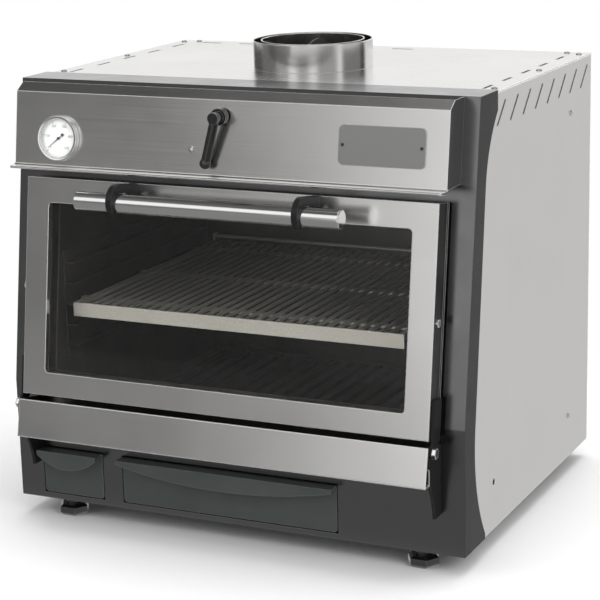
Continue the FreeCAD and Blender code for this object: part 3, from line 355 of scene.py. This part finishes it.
def scaled(name, cool, hot, rough, metal, pits):
    """Hot-side metal: scale and soot in blotches over a rough skin."""
    g = Graph(name, cool, metal, rough)
    blotch = g.noise(*BLOTCHES)
    speck = g.noise(*SPECKS)
    dark = tuple(c * SPECK_TONE for c in cool)
    bright = tuple(min(1.0, c * HOT_EDGE) for c in hot)
    body = g.blend(g.span(blotch, 0.0, 1.0, *BLOTCH_RANGE), cool, hot)
    speckled = g.blend(g.span(speck, 0.0, SPECK_SHARE, *SPECK_RANGE), body, dark)
    g.set("Base Color", g.blend(g.edges(HOT_FOLD), speckled, bright))
    g.set("Roughness", g.span(blotch, rough - HOT_SMOOTHER, rough + HOT_ROUGHER))
    g.bump(speck, pits)
    g.bump(blotch, pits * BLOTCH_RELIEF)
    return g.material


def glass(name, tint, haze, bend):
    """Clear pane that lets lamps through, with faint wiping marks in its gloss."""
    g = Graph(name, tint, rough=haze)
    g.set("Transmission Weight", 1.0)
    g.set("IOR", bend)
    g.set("Roughness", g.span(g.noise(*WIPES), 0.0, haze))
    clear = g.node("ShaderNodeBsdfTransparent")
    clear.inputs["Color"].default_value = (*tint, 1)
    shadow = g.node("ShaderNodeLightPath").outputs["Is Shadow Ray"]
    g.show(g.mix_shader(shadow, g.shader.outputs["BSDF"], clear.outputs["BSDF"]))
    return g.material


STEEL = (0.80, 0.79, 0.775)
BLACK = (0.012, 0.012, 0.013)
# Where the cut slots of the sides and of the top lie, in metres, for the painted shade round them
LOUVRES = (("Z", 0.585, 0.630), ("Y", -0.150, 0.297))
VENTS = (("X", -0.338, 0.338), ("Y", -0.150, 0.297))
LOOKS = {
    # Each brushed look paints a highlight along its edges, as strong as its edge amount
    "steel_x": brushed("steel_x", STEEL, 0.20, "x"),
    # steel_panel paints shade on its end faces and on its top flange
    "steel_panel": brushed("steel_panel", STEEL, 0.20, "x", flange=0.25),
    "steel_hem": brushed("steel_hem", STEEL, 0.20, "x", edge=0.4, fold=0.0024),
    # steel_z and steel_y paint shade round their cut slots
    "steel_z": brushed("steel_z", STEEL, 0.32, "z", fold=0.0034, cut_bands=LOUVRES),
    "steel_y": brushed("steel_y", STEEL, 0.26, "y", fold=0.0028, cut_bands=VENTS),
    "tube": brushed("tube", STEEL, 0.15, "z", contrast=0.03),
    "polished": brushed("polished", (0.88, 0.88, 0.87), 0.13, "x", contrast=0.03),
    "screw": brushed("screw", (0.70, 0.69, 0.68), 0.25, "x", contrast=0.1, fold=0.0004),
    "dark_screw": brushed("dark_screw", (0.10, 0.10, 0.10), 0.30, "x", contrast=0.1, edge=0.6, fold=0.0003),
    "badge": brushed("badge", (0.27, 0.27, 0.265), 0.42, "x", metal=0.6, edge=1.6, fold=0.0022),
    "rack": brushed("rack", (0.46, 0.42, 0.38), 0.42, "y", metal=0.7, contrast=0.15, fold=0.0006),
    # frame: its front and top faces carry a painted sheen
    "frame": paint_with_sheen("frame", (0.014, 0.014, 0.0145), (0.235, 0.235, 0.238), 0.22, (0.13, 0.13, 0.135)),
    "black": painted("black", BLACK, 0.32, (0.05, 0.05, 0.052), bend=1.3),
    "lug_black": painted("lug_black", BLACK, 0.32, (0.013, 0.013, 0.013), bend=1.3),
    # door_black and gloss_black paint highlights and glints along their edges
    "door_black": painted("door_black", BLACK, 0.32, (0.34, 0.34, 0.34), bend=1.3),
    "gloss_black": painted("gloss_black", (0.006, 0.006, 0.007), 0.10, (0.22, 0.22, 0.22), peel=0.000003,
                           bend=1.8, dust=0.0, fold=0.0008),
    "drawer": painted("drawer", (0.050, 0.058, 0.056), 0.34, (0.19, 0.20, 0.20)),
    "dial": painted("dial", (0.80, 0.80, 0.79), 0.4, (0.85, 0.85, 0.84), peel=0.000004, dust=0.2),
    "print": painted("print", (0.10, 0.10, 0.10), 0.5, (0.12, 0.12, 0.12), peel=0.000004),
    "needle": painted("needle", BLACK, 0.3, (0.04, 0.04, 0.04), fold=0.0003),
    "cavity": scaled("cavity", (0.065, 0.060, 0.054), (0.11, 0.097, 0.080), 0.5, 0.8, 0.00004),
    "iron": scaled("iron", (0.035, 0.033, 0.032), (0.07, 0.06, 0.052), 0.7, 0.4, 0.0003),
    "wool": scaled("wool", (0.070, 0.062, 0.050), (0.12, 0.105, 0.085), 0.9, 0.0, 0.0008),
    "rope": scaled("rope", (0.30, 0.29, 0.27), (0.42, 0.41, 0.38), 0.9, 0.0, 0.0003),
    "window": glass("window", (0.88, 0.90, 0.89), 0.04, 1.26),
    "dial_glass": glass("dial_glass", (0.97, 0.98, 0.97), 0.03, 1.2),
}
SLOT_LOOKS = {
    "stainless": "steel_x", "badge": "badge", "black_paint": "black", "feet": "gloss_black",
    "drawer_paint": "drawer", "cavity_steel": "cavity", "wool": "wool", "gasket": "rope",
    "polished": "polished", "window_glass": "window", "dial_glass": "dial_glass", "dial": "dial",
    "needle": "needle", "rack_steel": "rack", "grate_iron": "iron",
}
NODE_LOOKS = {
    "side_panel_left": "steel_z", "side_panel_right": "steel_z", "top_panel": "steel_y",
    "back_panel": "steel_z", "flue_collar": "tube", "flue_pipe": "tube", "damper_lever": "gloss_black",
    "control_panel": "steel_panel", "drip_tray": "steel_hem", "front_frame": "frame",
    "door_pan": "door_black", "door_lug_left": "lug_black", "door_lug_right": "lug_black",
}


def dress_nodes():
    """Give every frame node a finish of its own, or the one of its material slot."""
    for subpart in frame["record"]["subparts"]:
        name = subpart["node"]
        look = NODE_LOOKS.get(name, SLOT_LOOKS[subpart["material_slot"]])
        data = nodes[name].data
        data.materials.clear()
        data.materials.append(LOOKS[look])


dress_nodes()


# Studio
ROOM_LIGHT = 0.55
# Grey cards that shape the gloss: azimuth from and to, height from and to in degrees, blur, level
CARDS = (
    (-195, 195, 46, 68.5, 5, 0.06),
    (-195, -113.5, -40, 14, 3.5, 0.14),
    (-195, -140, -40, 60, 6, 0.17),
    (138, 195, -40, 60, 6, 0.08),
    (-96, -74, -40, 70, 6, 0.48),
    (-58, -18, -40, 70, 6, 0.42),
    (-8, 54, -40, 60, 5, 0.22),
    (38, 50, -40, 60, 3, 0.04),
)
# Floor: half its width, where it fades to white for the camera, and its colours
FLOOR_REACH = 12.0
FLOOR_FADE = (0.5, 0.95)
FLOOR_DARK, FLOOR_LIGHT, FLOOR_ROUGH = (0.92, 0.92, 0.92), (0.94, 0.94, 0.94), 0.9
# Level of the floor in the gloss, and of a grey card that lies on it in front
FLOOR_GLOSS, CARD_TONE = 0.66, 0.23
# The card's slanted right edge, its back edge, and the near part that reaches past the slant
CARD_TURN, CARD_PLACE, CARD_FADE = -111.0, 0.444, (0.02, 0.34)
CARD_BACK, CARD_NEAR = (-0.35, -0.15), (1.4, 2.4)
# Soft boxes: name, place, width and power, all aimed at the oven
LAMPS = (
    ("lamp_over", (0.2, 0.2, 3.0), 2.6, 75),
    ("lamp_right", (2.6, -1.6, 1.8), 1.8, 40),
    ("lamp_left", (-2.4, -2.2, 1.6), 1.8, 22),
)
LAMP_AIM = (0.0, 0.0, 0.35)


def sight(tree):
    """Gloss rays as a share, and what the camera sees, directly or through glass, as another."""
    path = tree.node("ShaderNodeLightPath").outputs
    return path["Is Glossy Ray"], tree.math("MAXIMUM", path["Is Camera Ray"], path["Is Transmission Ray"])


def add_world():
    """White for the camera and glass, grey cards on white for the gloss, and an even glow for light."""
    world = bpy.data.worlds.new("studio")
    bpy.context.scene.world = world
    world.use_nodes = True
    tree = Tree(world.node_tree)
    way = tree.split(tree.node("ShaderNodeTexCoord").outputs["Generated"])
    azimuth = tree.math("DIVIDE", tree.math("ARCTAN2", way["Y"], way["X"]), DEG)
    height = tree.math("DIVIDE", tree.math("ARCSINE", way["Z"]), DEG)
    level = 1.0
    for left, right, low, high, blur, tone in CARDS:
        share = tree.math("MULTIPLY", tree.window(azimuth, left, right, blur),
                          tree.window(height, low, high, blur))
        kept = tree.math("MULTIPLY", tree.math("SUBTRACT", 1.0, share), level)
        level = tree.math("ADD", tree.math("MULTIPLY", share, tone), kept)

    def glow(strength):
        made = tree.node("ShaderNodeBackground")
        made.inputs["Color"].default_value = (1, 1, 1, 1)
        tree.feed(strength, made.inputs["Strength"])
        return made.outputs["Background"]

    gloss, seen = sight(tree)
    lit = tree.mix_shader(gloss, glow(ROOM_LIGHT), glow(level))
    output = tree.node("ShaderNodeOutputWorld")
    tree.feed(tree.mix_shader(seen, lit, glow(1.0)), output.inputs["Surface"])


def add_floor():
    """Pale seamless floor that fades to white away from the oven, with a grey card for the gloss."""
    g = Graph("floor", FLOOR_LIGHT, rough=FLOOR_ROUGH)
    g.set("Base Color", g.blend(g.noise(*FLOOR_CLOUDS), FLOOR_DARK, FLOOR_LIGHT))
    length = g.node("ShaderNodeVectorMath", operation="LENGTH")
    g.feed(g.place, length.inputs[0])
    reach = length.outputs["Value"]
    far = g.span(reach, 0.0, 1.0, *FLOOR_FADE, smooth=True)
    spot = g.split(g.place)
    slant = g.math("ADD", g.math("MULTIPLY", spot["X"], math.sin(CARD_TURN * DEG)),
                   g.math("MULTIPLY", spot["Y"], -math.cos(CARD_TURN * DEG)))
    ahead = g.math("MAXIMUM", g.span(g.math("ADD", slant, CARD_PLACE), 0.0, 1.0, *CARD_FADE, smooth=True),
                   g.span(reach, 1.0, 0.0, *CARD_NEAR, smooth=True))
    card = g.math("MULTIPLY", ahead, g.span(spot["Y"], 1.0, 0.0, *CARD_BACK, smooth=True))
    gloss, seen = sight(g)
    level = g.span(card, FLOOR_GLOSS, CARD_TONE, 0.0, 1.0)
    backdrop = g.node("ShaderNodeEmission")
    g.feed(g.math("ADD", seen, g.math("MULTIPLY", gloss, level)), backdrop.inputs["Strength"])
    shown = g.math("MAXIMUM", g.math("MULTIPLY", far, seen), gloss)
    g.show(g.mix_shader(shown, g.shader.outputs["BSDF"], backdrop.outputs["Emission"]))
    mesh = bpy.data.meshes.new("floor")
    corners = [(x * FLOOR_REACH, y * FLOOR_REACH, 0) for x, y in ((-1, -1), (1, -1), (1, 1), (-1, 1))]
    mesh.from_pydata(corners, [], [(0, 1, 2, 3)])
    mesh.materials.append(g.material)
    floor = bpy.data.objects.new("floor", mesh)
    bpy.context.scene.collection.objects.link(floor)


def add_lamp(name, place, size, power):
    """Square soft box, left out of reflections."""
    data = bpy.data.lights.new(name, "AREA")
    data.shape = "SQUARE"
    data.size = size
    data.energy = power
    lamp = bpy.data.objects.new(name, data)
    lamp.location = place
    lamp.rotation_euler = (Vector(LAMP_AIM) - Vector(place)).to_track_quat("-Z", "Y").to_euler()
    lamp.visible_glossy = False
    bpy.context.scene.collection.objects.link(lamp)


add_world()
add_floor()
for lamp_row in LAMPS:
    add_lamp(*lamp_row)


# Places of the construction drawing, in millimetres, and the way to the shared frame
MID_Y, FOOT_H = 177.75007, 28.5
LEAN = 8.37 * DEG
UPRIGHT = QUARTER * DEG
CASING_H = 612.0
CONTROL_OUT = 48.6
GAUGE = (-255.0, 537.7)
BADGE = (234.7, 550.6)
HINGE = (-100.0, 155.2)


def spot_at(x, y, z):
    """A place of the drawing in metres of the shared frame."""
    return Vector((x, y - MID_Y, z + FOOT_H)) * MM


def on_panel(x, z):
    """Frame on the control panel's face, whose Z axis points out of it."""
    y = (z - CASING_H) * math.tan(LEAN) - CONTROL_OUT
    return Matrix.Translation(spot_at(x, y, z)) @ Matrix.Rotation(UPRIGHT - LEAN, 4, "X")


DOOR = Matrix.Translation(spot_at(0, *HINGE)) @ Matrix.Rotation(-LEAN, 4, "X")


# Mesh code; the angles in degrees are those past which an edge stays sharp
SHARP_ANGLE, BEZEL_ANGLE, SOFT_ANGLE = 35, 30, 80


def ring(bm, matrix, points):
    """A row of vertices, given in millimetres of a local frame."""
    return [bm.verts.new(matrix @ (Vector(point) * MM)) for point in points]


def skin(bm, first, second):
    """Quads between two closed rows of vertices."""
    for index in range(len(first)):
        after = (index + 1) % len(first)
        bm.faces.new((first[index], first[after], second[after], second[index]))


def skins(bm, rows):
    """Quads from each row to the next."""
    for first, second in zip(rows, rows[1:]):
        skin(bm, first, second)


def lathe(bm, profile, matrix, steps):
    """Turn a profile of (radius, height) pairs about the local Z axis."""
    angles = [FULL_TURN * step / steps for step in range(steps)]
    rows = []
    for radius, height in profile:
        points = [(radius * math.cos(a), radius * math.sin(a), height) for a in angles]
        rows.append(ring(bm, matrix, points))
    skins(bm, rows)
    return rows


def tip(bm, verts, matrix, height):
    """Close a row of vertices with a fan to a point on the local Z axis."""
    centre = bm.verts.new(matrix @ Vector((0, 0, height * MM)))
    for index, vert in enumerate(verts):
        bm.faces.new((vert, verts[(index + 1) % len(verts)], centre))


def finish_piece(name, bm, look, body, replaced=(), angle=SHARP_ANGLE):
    """Turn the mesh into a smooth-shaded piece with hard corners, riding on a body of the frame."""
    bmesh.ops.recalc_face_normals(bm, faces=bm.faces)
    mesh = bpy.data.meshes.new(name)
    bm.to_mesh(mesh)
    bm.free()
    mesh.shade_smooth()
    mesh.set_sharp_from_angle(angle=angle * DEG)
    mesh.materials.append(LOOKS[look])
    piece = bpy.data.objects.new(name, mesh)
    bpy.context.scene.collection.objects.link(piece)
    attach(piece, body)
    if replaced:
        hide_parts(*replaced)


# Thermometer: radius and height along its case, outside up to the bezel's roll and inside from it
CASE_END, CASE_FLOOR, CASE_STEPS = -22.0, 1.5, 96
CASE_OUTSIDE = (
    (7.0, CASE_END), (7.0, -0.2), (31.2, -0.1), (32.4, 0.6), (32.5, 1.4), (31.9, 2.0), (31.9, 6.6),
)
CASE_INSIDE = ((26.9, 7.65), (26.9, 7.55), (31.0, 7.55), (31.0, 1.6), (7.0, 1.55))
ROLL_AT, ROLL_H, ROLL_R, ROLL_STEP = 30.7, 7.2, 1.8, 10
# Print on the dial: height of the ticks, and how far above them the numbers lie
DIAL_FRONT, PRINT_LIFT = 2.32, 0.02
# Scale: first angle, sweep, count of steps and which are long, then the ticks' end, length and half width
SCALE_START, SCALE_SWEEP, SCALE_MARKS, MAJOR_EVERY = 225.0, 270.0, 50, 10
TICK_END, MAJOR_TICK, MINOR_TICK = 26.4, (3.6, 0.34), (1.7, 0.14)
SCALE_NUMBERS = ("0", "100", "200", "300", "400", "500")
NUMBER_R, NUMBER_H = 18.6, 5.2


def add_bezel():
    """Turned case whose polished bezel rolls over and slopes in to the glass."""
    at = on_panel(*GAUGE)
    bm = bmesh.new()
    roll = [(ROLL_AT + ROLL_R * math.cos(a * DEG), ROLL_H + ROLL_R * math.sin(a * DEG))
            for a in range(0, QUARTER + 1, ROLL_STEP)]
    rows = lathe(bm, [*CASE_OUTSIDE, *roll, *CASE_INSIDE], at, CASE_STEPS)
    tip(bm, rows[0], at, CASE_END)
    tip(bm, rows[-1], at, CASE_FLOOR)
    finish_piece("bezel", bm, "polished", "oven", ("thermometer_case",), BEZEL_ANGLE)


def scale_angle(step, steps):
    return (SCALE_START - SCALE_SWEEP * step / steps) * DEG


def add_scale():
    """Ticks and plain numbers printed round the dial."""
    at = on_panel(*GAUGE)
    bm = bmesh.new()
    for mark in range(SCALE_MARKS + 1):
        turn = at @ Matrix.Rotation(scale_angle(mark, SCALE_MARKS), 4, "Z")
        long, half = MAJOR_TICK if mark % MAJOR_EVERY == 0 else MINOR_TICK
        start = TICK_END - long
        corners = ((start, -half), (TICK_END, -half), (TICK_END, half), (start, half))
        bm.faces.new(ring(bm, turn, [(x, y, DIAL_FRONT) for x, y in corners]))
    finish_piece("dial_ticks", bm, "print", "oven")
    for index, word in enumerate(SCALE_NUMBERS):
        angle = scale_angle(index, len(SCALE_NUMBERS) - 1)
        curve = bpy.data.curves.new(f"dial_number_{index}", "FONT")
        curve.body = word
        curve.size = NUMBER_H * MM
        curve.align_x = "CENTER"
        curve.align_y = "CENTER"
        x, y = NUMBER_R * math.cos(angle), NUMBER_R * math.sin(angle)
        spot = Vector((x, y, DIAL_FRONT + PRINT_LIFT)) * MM
        holder = bpy.data.objects.new(f"dial_text_{index}", curve)
        mesh = bpy.data.meshes.new_from_object(holder)
        mesh.transform(at @ Matrix.Translation(spot))
        mesh.materials.clear()
        mesh.materials.append(LOOKS["print"])
        bpy.data.objects.remove(holder)
        number = bpy.data.objects.new(f"dial_number_{index}", mesh)
        bpy.context.scene.collection.objects.link(number)
        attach(number, "oven")


# Fasteners: rows of a screw head and its recess, in shares of the head's radius and height
HEAD_PROFILE = (
    (1.0, 0.0), (1.0, 0.45), (0.97, 0.68), (0.86, 0.86), (0.68, 0.96),
    (0.52, 1.0), (0.42, 1.0), (0.32, 1.0), (0.2, 1.0), (0.1, 1.0),
)
HEAD_STEPS = 48
CROSS_HALF_W, CROSS_REACH, SLOT_HALF_W = 0.13, 0.55, 0.16
RECESS_FROM, RECESS_DEPTH, RECESS_TIP = 0.6, 0.55, 0.4
# Sizes and places of the screws in the drawing
SCREW_R, SCREW_H = 4.4, 2.0
TOP_SEAT, TOP_SCREWS = 610, ((336, 90), (336, 276), (336, 462), (314, 473))
SIDE_SEAT, SIDE_SCREWS = 348, ((388, 66), (388, 533))
SKIRT_SCREW, SKIRT_SCREW_R, SKIRT_TOP = (-325, 53), 2.95, 178.0
BADGE_SCREW_X, BADGE_SEAT, BADGE_SCREW_R, BADGE_SCREW_H = 56, 1.0, 2.15, 1.2
# Turn of each group's first recess, in radians
TOP_TURN, SIDE_TURN, BADGE_TURN = 0.7, 0.4, 0.5


def screw_head(bm, at, radius, height, turn=0.0, slot=False):
    """Domed screw head with a cross recess, or with one slot."""
    at = at @ Matrix.Rotation(turn, 4, "Z")
    rows = []
    for share, level in HEAD_PROFILE:
        points = []
        for step in range(HEAD_STEPS):
            angle = FULL_TURN * step / HEAD_STEPS
            x, y = share * math.cos(angle), share * math.sin(angle)
            if slot:
                sunk = abs(y) < SLOT_HALF_W
            else:
                sunk = min(abs(x), abs(y)) < CROSS_HALF_W and max(abs(x), abs(y)) < CROSS_REACH
            drop = RECESS_DEPTH if sunk and level > RECESS_FROM else 0.0
            points.append((radius * x, radius * y, height * (level - drop)))
        rows.append(ring(bm, at, points))
    skins(bm, rows)
    tip(bm, rows[-1], at, height * RECESS_TIP)


def add_screws():
    """Cross-head screws on the top, the sides and the skirt, and slotted ones on the badge."""
    bm = bmesh.new()
    for side in (-1, 1):
        for index, (x, y) in enumerate(TOP_SCREWS):
            at = Matrix.Translation(spot_at(side * x, y, TOP_SEAT))
            screw_head(bm, at, SCREW_R, SCREW_H, TOP_TURN + index)
        for index, (y, z) in enumerate(SIDE_SCREWS):
            outwards = Matrix.Rotation(side * UPRIGHT, 4, "Y")
            at = Matrix.Translation(spot_at(side * SIDE_SEAT, y, z)) @ outwards
            screw_head(bm, at, SCREW_R, SCREW_H, SIDE_TURN + index)
    x, z = SKIRT_SCREW
    skirt_y = (SKIRT_TOP - CASING_H) * math.tan(LEAN)
    at = Matrix.Translation(spot_at(x, skirt_y, z)) @ Matrix.Rotation(UPRIGHT, 4, "X")
    screw_head(bm, at, SKIRT_SCREW_R, SCREW_H)
    finish_piece("screw_heads", bm, "screw", "oven", ("panel_screws",))
    bm = bmesh.new()
    for side in (-1, 1):
        at = on_panel(*BADGE) @ Matrix.Translation(Vector((side * BADGE_SCREW_X, 0, BADGE_SEAT)) * MM)
        screw_head(bm, at, BADGE_SCREW_R, BADGE_SCREW_H, BADGE_TURN + side, slot=True)
    finish_piece("badge_heads", bm, "dark_screw", "oven", ("badge_screws",))


# Gasket in millimetres of the door's frame: centre line, section, braid and steps
GASKET_X, GASKET_LOW, GASKET_HIGH, GASKET_CORNER = 295.0, 29.95, 310.72, 24.0
GASKET_MID, GASKET_HALF_W, GASKET_HALF_T = 29.99, 5.9, 2.1
BRAID_STEP, BRAID_PITCH, BRAID_TURNS, BRAID_DEPTH = 2.2, 10.0, 3, 0.16
ARC_STEPS, ROPE_STEPS = 16, 18
# Wool in metres: grid of its skin, depth and waves of its ruffle, and that depth's even and wavy share
WOOL_GRID, WOOL_SINK, WOOL_WAVES = 0.009, 0.0016, 70.0
WOOL_EVEN, WOOL_RUFFLE = 0.7, 0.5


def gasket_path():
    """Closely set points along the gasket's centre line, each with its outward direction."""
    half_z = (GASKET_HIGH - GASKET_LOW) / 2
    knots = []
    for quarter in range(4):
        middle = (quarter + 0.5) * QUARTER * DEG
        corner = Vector((math.copysign(GASKET_X - GASKET_CORNER, math.cos(middle)), GASKET_MID,
                         GASKET_LOW + half_z + math.copysign(half_z - GASKET_CORNER, math.sin(middle))))
        for step in range(ARC_STEPS + 1):
            angle = (quarter + step / ARC_STEPS) * QUARTER * DEG
            out = Vector((math.cos(angle), 0, math.sin(angle)))
            knots.append((corner + out * GASKET_CORNER, out))
    points = []
    for (start, out), (end, after) in zip(knots, knots[1:] + knots[:1]):
        count = max(1, round((end - start).length / BRAID_STEP))
        for index in range(count):
            share = index / count
            points.append((start.lerp(end, share), out.lerp(after, share).normalized()))
    return points


def add_gasket():
    """Flat braided rope round the inside of the door."""
    bm = bmesh.new()
    points = gasket_path()
    turns = round(len(points) * BRAID_STEP / BRAID_PITCH)
    rows = []
    for index, (centre, out) in enumerate(points):
        along = FULL_TURN * turns * index / len(points)
        section = []
        for step in range(ROPE_STEPS):
            angle = FULL_TURN * step / ROPE_STEPS
            twist = BRAID_TURNS * angle
            crown = max(math.cos(twist + along), math.cos(twist - along))
            size = 1 - BRAID_DEPTH * (1 - crown) / 2
            section.append(centre + out * (GASKET_HALF_W * size * math.cos(angle))
                           + Vector((0, GASKET_HALF_T * size * math.sin(angle), 0)))
        rows.append(ring(bm, DOOR, section))
    skins(bm, rows + rows[:1])
    finish_piece("gasket_rope", bm, "rope", "door", ("door_gasket",), SOFT_ANGLE)


def add_wool():
    """Fibre slabs: the plain solids melted to a close skin that is ruffled inwards."""
    node = nodes["insulation"]
    form = bpy.data.objects.new("wool_form", node.data.copy())
    bpy.context.scene.collection.objects.link(form)
    melt = form.modifiers.new("melt", "REMESH")
    melt.mode = "VOXEL"
    melt.voxel_size = WOOL_GRID
    solid = bpy.data.meshes.new_from_object(form.evaluated_get(bpy.context.evaluated_depsgraph_get()))
    bpy.data.objects.remove(form)
    solid.transform(node.matrix_world)
    bm = bmesh.new()
    bm.from_mesh(solid)
    bm.normal_update()
    for vert in bm.verts:
        ruffle = WOOL_EVEN + WOOL_RUFFLE * noise.noise(vert.co * WOOL_WAVES)
        vert.co -= vert.normal * WOOL_SINK * ruffle
    finish_piece("wool_slabs", bm, "wool", "oven", ("insulation",), SOFT_ANGLE)


add_bezel()
add_scale()
add_screws()
add_gasket()
add_wool()


bpy.context.scene.view_settings.view_transform = "Standard"
